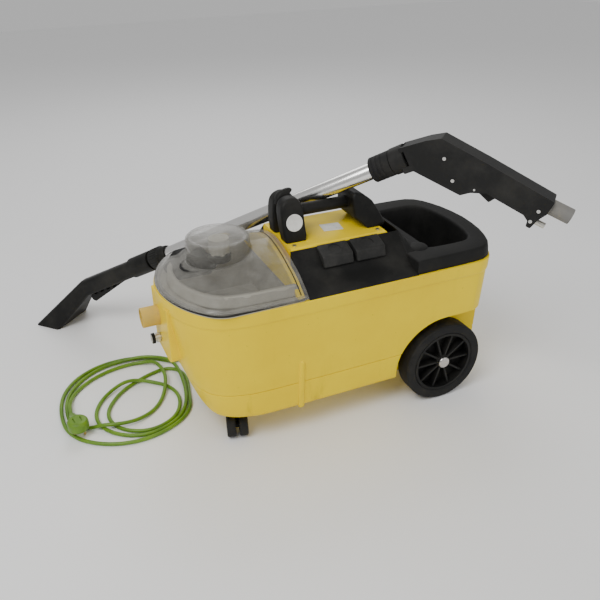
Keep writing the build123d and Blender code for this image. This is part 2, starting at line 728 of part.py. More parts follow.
def lead_tube():
    """Free lead from the gland to the coil: straight runs joined by tangent arcs."""
    points = [Vector(gland_x, half_at(gland_z) + gland_reach, gland_z)] + [Vector(*p) for p in lead_points]
    radii = []
    for a, b, c in zip(points, points[1:], points[2:]):
        turn = math.radians((b - a).get_angle(c - b))
        radii.append(0.45 * min((b - a).length, (c - b).length) / math.tan(turn / 2))
    print("lead radii", [round(r) for r in radii])
    path = FilletPolyline(*points, radius=radii)
    start = Plane(origin=points[0], z_dir=points[1] - points[0])
    tube = sweep(start * Circle(lead_r), path=path)
    print("lead length", round(path.length), "volume ratio", tube.volume / (math.pi * lead_r ** 2 * path.length))
    return tube


def lead_coil():
    """Outer shape of the loose flat loops on the floor, with room for the plug that stands in them."""
    face = make_face(Polyline(*coil_outline, close=True))
    loops = extrude(face, amount=coil_height)
    cap_room = Pos(0, 0, coil_height / 2) * Cylinder(plug_r + 4, coil_height + 2)
    neck_room = box((0, neck_x[1]), (-12, 12), (-1, coil_height + 1))
    return loops - Pos(*plug_spot, 0) * Rot(0, 0, plug_turn) * (cap_room + neck_room)


def plug_body():
    """Side-entry earthed plug standing on its pins: round cap and the tapered neck of the lead."""
    cap = Pos(0, 0, plug_z[0]) * rod(plug_r, (0, 0, 0), (0, 0, 1), plug_z[1] - plug_z[0])
    ends = [(Plane(origin=(x, 0, z), z_dir=(1, 0, 0)) * Circle(r)).face()
            for x, z, r in zip(neck_x, neck_z, (10.0, 5.0))]
    body = cap + loft(ends, ruled=True)
    for side in (-pin_spread, pin_spread):
        body = body - rod(2.4, (0, side, plug_z[0] - 1), (0, 0, 1), 8)
    return Pos(*plug_spot, 0) * Rot(0, 0, plug_turn) * body


def plug_pins():
    place = Pos(*plug_spot, 0) * Rot(0, 0, plug_turn)
    pins = [place * rod(2.35, (0, side, 0.4), (0, 0, 1), plug_z[0] + 5) for side in (-pin_spread, pin_spread)]
    return Compound(children=[s for pin in pins for s in pin.solids()])


shift = Pos(89.6, -143.3, 0)
wand_place = Pos(wand_x, 0, 0) * Rot(0, 0, wand_yaw)


def export(name, shape, place=shift):
    moved = place * shape
    solids = moved.solids()
    solids = Compound(children=list(solids)) if len(solids) > 1 else solids[0]
    export_step(solids, f"parts/{name}.step")


machine = {
    "base_pan": base_pan, "body_shell": body_shell, "side_ribs": side_ribs, "deck_cover": deck_cover,
    "tray_frame": tray_frame, "dome_lid": dome_lid, "waste_tank": waste_tank, "intake_pipe": intake_pipe,
    "spray_coupling": spray_coupling, "coupling_collar": coupling_collar, "handle": handle, "axle": axle,
    "axle_bushes": axle_bushes, "fresh_tank": fresh_tank, "tank_filter": tank_filter,
    "turbine_housing": turbine_housing, "turbine_fan": turbine_fan, "motor_can": motor_can,
    "spray_pump": spray_pump, "air_duct": air_duct, "float_cage": float_cage, "float_ball": float_ball,
    "lid_seal": lid_seal, "deck_plate": deck_plate, "deck_screws": deck_screws, "lead_gland": gland,
    "lead_tube": lead_tube, "lead_coil": lead_coil, "plug_body": plug_body, "plug_pins": plug_pins,
}
for name, make in machine.items():
    export(name, make())

sides = {"near": -1, "far": 1}
paired = {
    "console": console_side, "tyre": tyre, "wheel_rim": wheel_rim, "hub_cap": hub_cap,
    "caster_fork": caster_fork, "caster_pin": caster_pin, "caster_rollers": caster_rollers,
}
for name, make in paired.items():
    for label, side in sides.items():
        export(f"{name}_{label}", make(side))

for label, start in zip(("suction", "spray"), pad_starts):
    export(f"switch_{label}", switch_pad(start))

wand = {
    "wand_pipe": wand_pipe, "nozzle_body": nozzle_body, "nozzle_nut": nozzle_nut, "spray_jet": spray_jet,
    "grip_sleeve": grip_sleeve, "grip_ring": grip_ring, "grip_body": grip_body, "hose_cuff": hose_cuff,
    "trigger": trigger, "trigger_pin": trigger_pin, "wand_coupler": wand_coupler, "grip_screws": grip_screws,
}
for name, make in wand.items():
    export(name, make(), shift * wand_place)
print("wand crosses the bar at z", round(cross_z, 1))
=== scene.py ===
import bpy, bmesh, math
from mathutils import Vector, Matrix


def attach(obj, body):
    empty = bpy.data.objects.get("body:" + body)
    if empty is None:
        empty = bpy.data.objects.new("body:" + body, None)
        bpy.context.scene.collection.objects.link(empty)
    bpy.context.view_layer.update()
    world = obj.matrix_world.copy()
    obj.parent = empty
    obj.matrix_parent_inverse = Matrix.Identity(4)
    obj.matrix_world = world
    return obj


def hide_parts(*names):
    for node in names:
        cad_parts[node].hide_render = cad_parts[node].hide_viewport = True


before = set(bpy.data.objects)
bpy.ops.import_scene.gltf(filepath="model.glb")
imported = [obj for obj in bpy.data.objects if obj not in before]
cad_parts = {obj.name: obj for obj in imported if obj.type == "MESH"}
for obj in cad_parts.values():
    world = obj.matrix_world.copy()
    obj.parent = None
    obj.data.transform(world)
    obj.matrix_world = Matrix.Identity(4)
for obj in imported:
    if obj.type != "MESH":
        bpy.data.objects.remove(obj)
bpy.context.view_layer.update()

# Two drawing frames in millimetres: the machine's own, and the leaning wand's
machineFrame = Matrix.Translation((0.0896, -0.1433, 0)) @ Matrix.Scale(0.001, 4)
wandYaw = math.radians(-47)
wandSlope = math.radians(28)
wandFrame = machineFrame @ Matrix.Translation((46, 0, 0)) @ Matrix.Rotation(wandYaw, 4, 'Z')


def wandHeight(s):
    return 456.05 + s * math.tan(wandSlope)


# Shader maths on sockets
class Sock:
    def __init__(self, socket, tree):
        self.socket, self.tree = socket, tree

    def math(self, operation, other, swap=False):
        node = self.tree.nodes.new('ShaderNodeMath')
        node.operation = operation
        pair = [self, other] if not swap else [other, self]
        for place, value in enumerate(pair):
            if isinstance(value, Sock):
                self.tree.links.new(value.socket, node.inputs[place])
            else:
                node.inputs[place].default_value = value
        return Sock(node.outputs[0], self.tree)

    def __add__(self, other): return self.math('ADD', other)
    def __radd__(self, other): return self.math('ADD', other)
    def __sub__(self, other): return self.math('SUBTRACT', other)
    def __rsub__(self, other): return self.math('SUBTRACT', other, swap=True)
    def __mul__(self, other): return self.math('MULTIPLY', other)
    def __rmul__(self, other): return self.math('MULTIPLY', other)


class Finish:
    # A material with its nodes made by one method
    def __init__(self, name):
        self.material = bpy.data.materials.new(name)
        self.material.use_nodes = True
        self.tree = self.material.node_tree
        self.tree.nodes.clear()
        self.output = self.tree.nodes.new('ShaderNodeOutputMaterial')

    def node(self, kind, settings=None, inputs=None, result=0):
        made = self.tree.nodes.new('ShaderNode' + kind)
        for key, value in (settings or {}).items():
            setattr(made, key, value)
        for key, value in (inputs or {}).items():
            if isinstance(value, Sock):
                self.tree.links.new(value.socket, made.inputs[key])
            else:
                made.inputs[key].default_value = value
        return Sock(made.outputs[result], self.tree)

    def place(self):
        return self.node('TexCoord', result=3)

    def noise(self, scale, detail=4.0, rough=0.55, stretch=None):
        where = self.place()
        if stretch:
            where = self.node('Mapping', {}, {0: where, 3: stretch})
        return self.node('TexNoise', {}, {'Vector': where, 'Scale': scale, 'Detail': detail,
                                          'Roughness': rough})

    def clamp(self, value, low, high, toLow=0.0, toHigh=1.0):
        return self.node('MapRange', {'clamp': True}, {0: value, 1: low, 2: high, 3: toLow, 4: toHigh})

    def mix(self, share, a, b):
        def colour(value):
            return value if isinstance(value, Sock) else (*value, 1)
        return self.node('Mix', {'data_type': 'RGBA'}, {0: share, 6: colour(a), 7: colour(b)}, result=2)

    def height(self):
        return self.node('SeparateXYZ', {}, {0: self.place()}, result=2)

    def bump(self, height, strength, distance):
        return self.node('Bump', {}, {'Height': height, 'Strength': strength, 'Distance': distance})

    def surface(self, inputs):
        shader = self.node('BsdfPrincipled', {}, inputs)
        self.tree.links.new(shader.socket, self.output.inputs[0])
        return self.material

# Camera first
camera = {'aim': (-29.83, 0, 222.70), 'back': (-0.35148, -0.80029, 0.48613), 'distance': 1431.48,
          'lens': 41.816, 'roll': -0.86}


def addCamera():
    back = Vector(camera['back']).normalized()
    azimuth = math.atan2(-back.x, -back.y)
    right = Vector((math.cos(azimuth), -math.sin(azimuth), 0))
    up = back.cross(right)
    roll = math.radians(camera['roll'])
    across = right * math.cos(roll) + up * math.sin(roll)
    upward = up * math.cos(roll) - right * math.sin(roll)
    turn = Matrix((across, upward, back)).transposed().to_4x4()
    lensData = bpy.data.cameras.new('studioCamera')
    lensData.lens, lensData.sensor_width = camera['lens'], 36
    made = bpy.data.objects.new('studioCamera', lensData)
    eye = machineFrame @ (Vector(camera['aim']) + back * camera['distance'])
    made.matrix_world = Matrix.Translation(eye) @ turn
    bpy.context.scene.collection.objects.link(made)
    bpy.context.scene.camera = made


addCamera()



# Finishes
def yellowFinish(name, low=0.064, high=0.312):
    look = {'base': (0.88, 0.62, 0.0), 'light': (0.95, 0.71, 0.002), 'dust': (0.42, 0.27, 0.005)}
    f = Finish(name)
    cloud = f.clamp(f.noise(5, 5, 0.6), 0.35, 0.7)
    tone = f.mix(cloud, look['base'], look['light'])
    streak = f.clamp(f.noise(9, 6, 0.65, (3, 3, 0.5)), 0.56, 0.78)
    foot = f.clamp(f.height(), low, low + 0.09, 1, 0)  # dirt gathers toward the floor
    tone = f.mix(streak * (foot * 0.6 + 0.14), tone, look['dust'])
    speck = f.clamp(f.noise(160, 3, 0.5), 0.71, 0.76)
    tone = f.mix(speck * 0.4, tone, (0.3, 0.2, 0.03))
    scuff = f.clamp(f.noise(60, 6, 0.7, (1, 1, 6)), 0.6, 0.75)
    rough = 0.33 + cloud * 0.08 + scuff * 0.22 + foot * 0.08
    grain = f.noise(900, 2, 0.5) + scuff * 0.6
    return f.surface({'Base Color': tone, 'Roughness': rough, 'Normal': f.bump(grain, 0.12, 0.0002),
                      'Specular IOR Level': 0.16})


def blackFinish(name, base=(0.008, 0.008, 0.0075), dusty=(0.04, 0.038, 0.033), rough=0.46, grainScale=1400):
    f = Finish(name)
    cloud = f.clamp(f.noise(14, 6, 0.65), 0.42, 0.75)
    scratch = f.clamp(f.noise(45, 7, 0.75, (1, 7, 2)), 0.6, 0.74)
    tone = f.mix(cloud * 0.6 + scratch * 0.35, base, dusty)
    grain = f.noise(grainScale, 2, 0.5)
    return f.surface({'Base Color': tone, 'Roughness': rough + cloud * 0.14 - scratch * 0.06,
                      'Normal': f.bump(grain, 0.25, 0.0003), 'Specular IOR Level': 0.18})


def rubberFinish(name, base=(0.012, 0.012, 0.012)):
    f = Finish(name)
    dust = f.clamp(f.noise(22, 6, 0.7), 0.45, 0.8)
    tone = f.mix(dust * 0.55, base, (0.05, 0.047, 0.04))
    return f.surface({'Base Color': tone, 'Roughness': 0.68 + dust * 0.2, 'Specular IOR Level': 0.25,
                      'Normal': f.bump(f.noise(700, 3, 0.6), 0.3, 0.0003)})


def clearFinish(name):
    # Worn clear plastic: a thin tinted sheet, hazed by scratches
    f = Finish(name)
    haze = f.clamp(f.noise(30, 7, 0.7), 0.35, 0.75)
    streak = f.clamp(f.noise(90, 5, 0.7, (0.3, 2, 2)), 0.55, 0.75)
    edge = f.node('LayerWeight', {}, {'Blend': 0.35}, result=1)
    cover = 0.1 + haze * 0.1 + streak * 0.08 + edge * 0.45
    f.surface({'Base Color': f.mix(haze, (0.27, 0.26, 0.235), (0.42, 0.41, 0.37)),
                                          'Roughness': 0.1 + streak * 0.15, 'Alpha': cover, 'IOR': 1.49})
    f.material.surface_render_method = 'DITHERED'
    return f.material


def tankFinish(name, base=(0.33, 0.315, 0.27)):
    f = Finish(name)
    stain = f.clamp(f.noise(12, 7, 0.7), 0.4, 0.75)
    drip = f.clamp(f.noise(40, 5, 0.6, (4, 4, 0.4)), 0.58, 0.74)
    tone = f.mix(stain * 0.6 + drip * 0.4, base, (0.24, 0.22, 0.17))
    return f.surface({'Base Color': tone, 'Roughness': 0.5 + stain * 0.2,
                      'Normal': f.bump(f.noise(300, 4, 0.6), 0.2, 0.0004)})


def steelFinish(name, base=(0.8, 0.79, 0.77), rough=0.17, along=(60, 60, 1)):
    f = Finish(name)
    drawn = f.noise(18, 4, 0.6, along)
    dull = f.clamp(f.noise(24, 6, 0.7), 0.5, 0.8)
    tone = f.mix(dull * 0.5, base, tuple(0.62 * c for c in base))
    return f.surface({'Base Color': tone, 'Metallic': 1.0, 'Roughness': rough + drawn * 0.1 + dull * 0.18,
                      'Normal': f.bump(drawn, 0.06, 0.0002)})


def cordFinish(name):
    look = {'base': (0.09, 0.2, 0.006), 'light': (0.16, 0.31, 0.01), 'dirt': (0.035, 0.06, 0.006)}
    f = Finish(name)
    tone = f.mix(f.clamp(f.noise(18, 5, 0.6), 0.35, 0.7), look['base'], look['light'])
    grime = f.clamp(f.noise(55, 6, 0.7), 0.55, 0.78)
    tone = f.mix(grime * 0.7, tone, look['dirt'])
    return f.surface({'Base Color': tone, 'Roughness': 0.42 + grime * 0.25,
                      'Normal': f.bump(f.noise(500, 4, 0.6), 0.2, 0.0003)})


finishes = {
    'yellow': yellowFinish('yellowShell'),
    'stubYellow': tankFinish('agedYellow', (0.68, 0.46, 0.06)),
    'black': blackFinish('blackMoulding'),
    'grip': blackFinish('gripMoulding', (0.014, 0.014, 0.0135), (0.05, 0.048, 0.043), 0.5, 1100),
    'dark': blackFinish('trayMoulding', (0.010, 0.010, 0.0095), (0.03, 0.029, 0.026), 0.6, 1500),
    'pads': blackFinish('padMoulding', (0.020, 0.020, 0.019), (0.07, 0.066, 0.06), 0.42, 1700),
    'rubber': rubberFinish('casterRubber'),
    'tyre': rubberFinish('tyreRubber', (0.009, 0.009, 0.009)),
    'clear': clearFinish('clearLid'),
    'tank': tankFinish('greyTank', (0.4, 0.38, 0.31)),
    'milky': tankFinish('milkyTank', (0.78, 0.78, 0.74)),
    'pipe': steelFinish('drawnPipe'),
    'steel': steelFinish('screwSteel', (0.62, 0.61, 0.58), 0.3),
    'cap': steelFinish('polishedCap', (0.55, 0.53, 0.5), 0.22, (1, 1, 1)),
    'fitting': steelFinish('platedFitting', (0.66, 0.64, 0.58), 0.32, (1, 1, 1)),
    'brass': steelFinish('turnedBrass', (0.72, 0.52, 0.22), 0.3, (1, 1, 1)),
    'dust': tankFinish('dustyCuff', (0.17, 0.165, 0.155)),
    'cord': cordFinish('greenSheath'),
    'motor': steelFinish('motorCase', (0.35, 0.35, 0.36), 0.4, (1, 1, 1)),
}
print('finishes ready')


# Mesh tools, all in millimetres in one of the two drawing frames
def meshOf(name, verts, faces, finish, body, frameOf=machineFrame, sharp=32):
    mesh = bpy.data.meshes.new(name)
    mesh.from_pydata([frameOf @ Vector(v) for v in verts], [], faces)
    mesh.validate()
    made = bpy.data.objects.new(name, mesh)
    bpy.context.scene.collection.objects.link(made)
    tidyMesh(made, sharp)
    mesh.materials.append(finishes[finish] if isinstance(finish, str) else finish)
    if body:
        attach(made, body)
    return made


def tidyMesh(made, sharp=32):
    bm = bmesh.new()
    bm.from_mesh(made.data)
    bmesh.ops.remove_doubles(bm, verts=bm.verts, dist=0.00002)
    bmesh.ops.recalc_face_normals(bm, faces=bm.faces)
    bm.to_mesh(made.data)
    bm.free()
    for face in made.data.polygons:
        face.use_smooth = True
    made.data.set_sharp_from_angle(angle=math.radians(sharp))


def soften(made, width, steps=3, angle=32):
    # Rounds the hard edges of a piece and evens its shading
    bevel = made.modifiers.new('softEdges', 'BEVEL')
    bevel.width, bevel.segments, bevel.limit_method = width / 1000, steps, 'ANGLE'
    bevel.angle_limit, bevel.harden_normals, bevel.miter_outer = math.radians(angle), False, 'MITER_ARC'
    even = made.modifiers.new('evenShade', 'WEIGHTED_NORMAL')
    even.keep_sharp = True
    for face in made.data.polygons:
        face.use_smooth = True
    made.data.set_sharp_from_angle(angle=math.radians(60))
    return made


def rings(name, loops, finish, body, frameOf=machineFrame, caps=(True, True), sharp=32, closed=True):
    verts = [p for loop in loops for p in loop]
    count = len(loops[0])
    faces = []
    for i in range(len(loops) - 1):
        for j in range(count if closed else count - 1):
            a, b = i * count + j, i * count + (j + 1) % count
            faces.append((a, b, b + count, a + count))
    if caps[0]:
        faces.append(tuple(reversed(range(count))))
    if caps[1]:
        faces.append(tuple(range((len(loops) - 1) * count, len(loops) * count)))
    return meshOf(name, verts, faces, finish, body, frameOf, sharp)


def lathe(name, profile, start, axis, finish, body, frameOf=machineFrame, steps=48, sharp=32):
    # Turns (along, radius) pairs round an axis; a radius of 0 closes that end
    axis = Vector(axis).normalized()
    side = axis.orthogonal().normalized()
    other = axis.cross(side)
    loops = []
    for along, radius in profile:
        radius = max(radius, 0.01)
        loops.append([Vector(start) + axis * along + (side * math.cos(2 * math.pi * k / steps)
                      + other * math.sin(2 * math.pi * k / steps)) * radius for k in range(steps)])
    return rings(name, loops, finish, body, frameOf, sharp=sharp)


def prism(name, outline, axis, low, high, finish, body, frameOf=machineFrame, sharp=32):
    # Pushes a flat outline along x, y or z; the outline holds the other two in order
    def point(p, t):
        return {'x': (t, p[0], p[1]), 'y': (p[0], t, p[1]), 'z': (p[0], p[1], t)}[axis]
    loops = [[point(p, low) for p in outline], [point(p, high) for p in outline]]
    return rings(name, loops, finish, body, frameOf, sharp=sharp)


def rounded(outline, radius, steps=5):
    # Rounds the corners of a flat outline; radius is one number or one for each corner
    points = [Vector(p) for p in outline]
    radii = radius if isinstance(radius, (list, tuple)) else [radius] * len(points)
    result = []
    for i, here in enumerate(points):
        back, ahead = points[i - 1] - here, points[(i + 1) % len(points)] - here
        turn = back.angle(ahead)
        cut = min(radii[i] / math.tan(turn / 2), 0.48 * back.length, 0.48 * ahead.length)
        if cut < 0.05 or turn > math.pi - 0.02:
            result.append(tuple(here))
            continue
        a, b = here + back.normalized() * cut, here + ahead.normalized() * cut
        for k in range(steps + 1):
            t = k / steps
            result.append(tuple(a * (1 - t) ** 2 + here * 2 * t * (1 - t) + b * t * t))
    return result


def carve(made, cutters):
    for cutter in cutters:
        change = made.modifiers.new('carve', 'BOOLEAN')
        change.operation, change.solver, change.object = 'DIFFERENCE', 'EXACT', cutter
        bpy.context.view_layer.update()
        solid = bpy.data.meshes.new_from_object(made.evaluated_get(bpy.context.evaluated_depsgraph_get()))
        made.modifiers.remove(change)
        old = made.data
        made.data = solid
        solid.name = made.name
        bpy.data.meshes.remove(old)
        bpy.data.objects.remove(cutter)
    return made


def smoothPath(points, steps=6):
    # A Catmull-Rom line through flat or solid points
    points = [Vector(p) for p in points]
    points = [2 * points[0] - points[1]] + points + [2 * points[-1] - points[-2]]
    line = []
    for i in range(1, len(points) - 2):
        a, b, c, d = points[i - 1:i + 3]
        for k in range(steps):
            t = k / steps
            line.append(0.5 * (2 * b + (c - a) * t + (2 * a - 5 * b + 4 * c - d) * t * t
                               + (3 * b - a - 3 * c + d) * t ** 3))
    line.append(points[-2])
    return line



# The machine's own shape
hull = {
    'rim': [(-318, 0), (-316.5, 24), (-311, 48), (-301, 76), (-286, 104), (-268, 126), (-244, 143), (-212, 151.5),
            (-171, 155.5), (-97, 157), (40, 157), (180, 157), (278, 157), (302, 154), (320, 144), (333, 127),
            (343, 103), (351, 76), (357, 40), (360, 0)],
    'foot': [(-268, 0), (-267, 26), (-265, 52), (-260, 80), (-252, 98), (-238, 112), (-220, 122.5), (-198, 130),
             (-171, 135.5), (-97, 137.5), (40, 138), (180, 138), (278, 138), (300, 135), (316, 126), (327, 112),
             (336, 93), (343, 68), (349, 36), (352, 0)],
    'front': [(65, -266), (87, -273), (122, -284), (154, -295), (191, -304), (227, -309.5), (268, -316), (312, -318)],
    'seam': 128, 'band': 285, 'rimTop': 312, 'floor': 65,
}


def between(table, x):
    # Straight-line reading of (x, y) pairs
    for (x0, y0), (x1, y1) in zip(table, table[1:]):
        if x <= x1:
            return y0 + (y1 - y0) * max(0, min(1, (x - x0) / (x1 - x0)))
    return table[-1][1]


def hullLoop(z, inset=0.0, steps=4):
    # Outline of the body at height z, drawn in by inset
    t = max(0, min(1, (z - 65) / (312 - 65)))
    shift = between(hull['front'], z) - (-268 + (-318 + 268) * t)
    half = []
    for (x0, y0), (x1, y1) in zip(hull['foot'], hull['rim']):
        x, y = x0 + (x1 - x0) * t, y0 + (y1 - y0) * t
        x += shift * max(0, min(1, (-97 - x) / 120))
        half.append((x, y))
    half = [(p.x, p.y) for p in smoothPath(half, steps)]
    loop = [(x, y) for x, y in half] + [(x, -y) for x, y in reversed(half[1:-1])]
    if inset:
        loop = drawnIn(loop, inset)
    return [(x, y, z) for x, y in loop]


def drawnIn(loop, inset):
    # Moves a closed outline inward along its own normals
    result = []
    count = len(loop)
    area = sum(loop[i][0] * loop[(i + 1) % count][1] - loop[(i + 1) % count][0] * loop[i][1]
               for i in range(count))
    side = 1 if area > 0 else -1
    for i in range(count):
        ax, ay = loop[i - 1][0], loop[i - 1][1]
        bx, by = loop[(i + 1) % count][0], loop[(i + 1) % count][1]
        dx, dy = bx - ax, by - ay
        size = math.hypot(dx, dy) or 1
        result.append((loop[i][0] - side * dy / size * inset, loop[i][1] + side * dx / size * inset))
    return result


def wheelRoom(tag):
    # Cutters for the wheel spaces, open to the rear
    made = []
    for side in (-1, 1):
        arch = [(230 + 106 * math.cos(math.radians(a)), 88.7 + 106 * math.sin(math.radians(a)))
                for a in range(90, 271, 5)]
        outline = arch + [(230, -60), (420, -60), (420, 194.7)]
        low, high = (108, 240) if side > 0 else (-240, -108)
        made.append(prism(f'{tag}Room{side}', outline, 'y', low, high, 'yellow', None))
    return made


def cavity(z0, z1, inset, tag):
    return rings(tag, [hullLoop(z0, inset), hullLoop(z1, inset)], 'yellow', None)


def bodyShell():
    zs = [(128.2, 1.6), (128.8, 0.7), (130, 0.1), (150, 0), (172, 0), (191, 0), (210, 0), (230, 0), (250, 0),
          (268, 0), (282.4, 0), (284, -0.5), (285.4, -1.6), (288, -2.2), (300, -2.2), (309.6, -2.2), (311.2, -1.7),
          (312, -0.4)]
    shell = rings('bodyShellSkin', [hullLoop(z, i) for z, i in zs], 'yellow', None, sharp=50)
    carve(shell, wheelRoom('shell') + [cavity(203, 320, 7, 'shellCavity')])
    port = lathe('portHole', [(0, 19.7), (60, 19.7)], (-340, 25, 247), (1, 0, 0), 'yellow', None)
    spray = lathe('sprayHole', [(0, 8), (60, 8)], (-340, 25, 197), (1, 0, 0), 'yellow', None)
    carve(shell, [port, spray])
    tidyMesh(shell, 38)
    soften(shell, 1.2, 2, 40)
    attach(shell, 'machine')
    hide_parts('body_shell')
    return shell


def portPanel():
    # Flat upright panel round the suction port, flush with the rim band
    outline = rounded([(-50, 176), (64, 176), (64, 292), (-50, 292)], [16, 16, 2, 2], 6)
    loops = []
    for x, grow in ((-296, 0), (-318.2, 0), (-319.4, -0.4), (-320, -1.5)):
        loops.append([(x + 0.0011 * (y - 7) ** 2 * 0.9, 7 + (y - 7) * (1 + grow / 57),
                       234 + (z - 234) * (1 + grow / 58))
                      for y, z in outline])
    panel = rings('portPanel', loops, 'yellow', None, sharp=40)
    port = lathe('panelPort', [(0, 19.7), (60, 19.7)], (-340, 25, 247), (1, 0, 0), 'yellow', None)
    spray = lathe('panelSpray', [(0, 8), (60, 8)], (-340, 25, 197), (1, 0, 0), 'yellow', None)
    carve(panel, [port, spray])
    tidyMesh(panel, 38)
    soften(panel, 0.8, 2, 40)
    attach(panel, 'machine')


def basePan():
    zs = [(65, 16), (65.3, 11), (66.4, 6.6), (69, 3.4), (73, 1.4), (79, 0.3), (87, 0), (104, 0), (122, 0), (126, 0.2),
          (127.2, 0.8), (127.7, 1.8)]
    pan = rings('basePanSkin', [hullLoop(z, i) for z, i in zs], 'yellow', None, sharp=50)
    stems = [lathe(f'stemHole{s}', [(0, 15), (9, 15), (9, 5.3), (60, 5.3)], (-204, s * 66, 56), (0, 0, 1), 'yellow',
                   None, steps=24) for s in (-1, 1)]
    axleHole = lathe('axleHole', [(0, 9.1), (260, 9.1)], (230, -130, 88.7), (0, 1, 0), 'yellow', None, steps=24)
    carve(pan, wheelRoom('pan') + stems + [axleHole])
    tidyMesh(pan, 38)
    soften(pan, 1.2, 2, 40)
    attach(pan, 'machine')
    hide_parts('base_pan')


def sideRibs():
    # Half-round ribs down both sides, with a softened head
    for side in (-1, 1):
        loops = []
        for z, size in ((66, 0.4), (66.8, 0.85), (69, 1), (120, 1), (170, 1), (176, 0.8), (179, 0.4), (180, 0.05)):
            half = 138 + (157 - 138) * (z - 65) / 247
            loops.append([(-91 + 6.6 * size * math.cos(a), side * (half - 1.2 + 5.0 * size * math.sin(a)), z)
                          for a in [math.pi * k / 12 for k in range(13)]])
        rib = rings(f'sideRib{"Near" if side < 0 else "Far"}', loops, 'yellow', 'machine', sharp=60)
    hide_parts('side_ribs')


bodyShell()
portPanel()
basePan()
sideRibs()
print('body ready')


# The lead lies from its gland round the coil to the plug, millimetres in the machine frame
leadRoute = [
    (-150, 174.5, 108), (-150, 206, 108), (-156, 230, 86), (-168, 238, 50), (-186, 236, 20),
    (-214, 231.2, 4.1), (-238, 222.5, 4.1), (-255, 219, 4), (-271, 226, 4), (-287, 240, 4), (-306, 255, 4),
    (-333, 268, 4), (-366, 276, 4.1), (-419, 273, 4.1), (-463, 252, 4.1), (-492, 225, 4.1), (-512, 192, 4.1),
    (-523, 155, 4.1), (-527, 112, 4.1), (-524, 66, 4.1), (-506, 28, 4.1), (-476, 0, 4.1), (-443, -18, 4.1),
    (-411, -27, 4.1), (-375, -28, 4.1), (-337, -19, 4.1), (-303, -1, 4.1), (-282, 20, 4.1), (-269, 44, 4.1),
    (-264, 70, 4.1), (-258, 98, 4.1), (-252, 128, 4.1), (-251, 158, 4.1), (-261, 183, 4.1), (-284, 199, 4.1),
    (-323, 190, 4.1), (-357, 174, 4.1), (-391, 153, 4.1), (-416, 126, 4.1), (-434, 95, 4.1), (-438, 66, 4.1),
    (-430, 37, 4.1), (-411, 14, 4.1), (-387, 0, 4.1), (-360, -5, 4.1), (-330, 3, 4.1), (-304, 23, 4.1),
    (-287, 58, 4.1), (-284, 96, 4.1), (-297, 131, 4.1), (-321, 155, 4.1), (-348, 168, 9.6),
    (-378, 169, 16.2), (-409, 161, 9.7), (-438, 140, 4.5), (-457, 106, 4.1), (-462, 74, 4.1),
    (-455, 43, 4.1), (-437, 16, 4.1), (-409, -6, 4.1), (-374, -17, 4.1), (-335, -9, 4.1), (-300, 12, 4.1),
    (-277, 47, 6.9), (-267, 85, 11.1), (-262, 122, 9.1), (-259, 165, 11), (-266, 208, 16.1),
    (-288, 239, 11.4), (-326, 258, 12), (-366, 266, 7.2), (-417, 263, 4.6), (-457, 241, 4.1),
    (-487, 210, 4.1), (-506, 176, 4.1), (-514, 136, 4.1), (-514, 92, 4.1), (-503, 66, 4.1), (-487, 56, 4.1),
    (-472, 50, 6), (-456, 41, 13), (-434, 31, 14.6), (-407, 28, 12.5), (-378, 36, 7.2), (-347, 54, 4.1),
    (-322, 83, 4.1), (-304, 118, 10.6), (-294, 155, 16.6), (-294, 194, 12.2), (-303, 224, 13.4),
    (-322, 241, 6), (-351, 249, 4.1), (-393, 246, 4.1), (-436, 231, 4.1), (-469, 208, 4.1), (-491, 184, 4.7),
    (-502, 159, 7.7), (-507.5, 132, 11), (-507.7, 105.5, 12.2),
]


def addLead():
    size = {'radius': 0.004, 'length': 3.36}
    curve = bpy.data.curves.new('mainsLead', 'CURVE')
    curve.dimensions, curve.resolution_u = '3D', 8
    line = curve.splines.new('NURBS')
    line.points.add(len(leadRoute) - 1)
    for point, place in zip(line.points, leadRoute):
        point.co = (*(machineFrame @ Vector(place)), 1)
    line.order_u, line.use_endpoint_u = 3, True
    curve.bevel_depth, curve.bevel_resolution, curve.use_fill_caps = size['radius'], 6, True
    made = bpy.data.objects.new('mainsLead', curve)
    bpy.context.scene.collection.objects.link(made)
    curve.materials.append(finishes['cord'])
    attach(made, 'machine')
    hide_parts('lead_coil', 'lead_tube')
    return made, machineFrame @ Vector(leadRoute[0]), size['length']

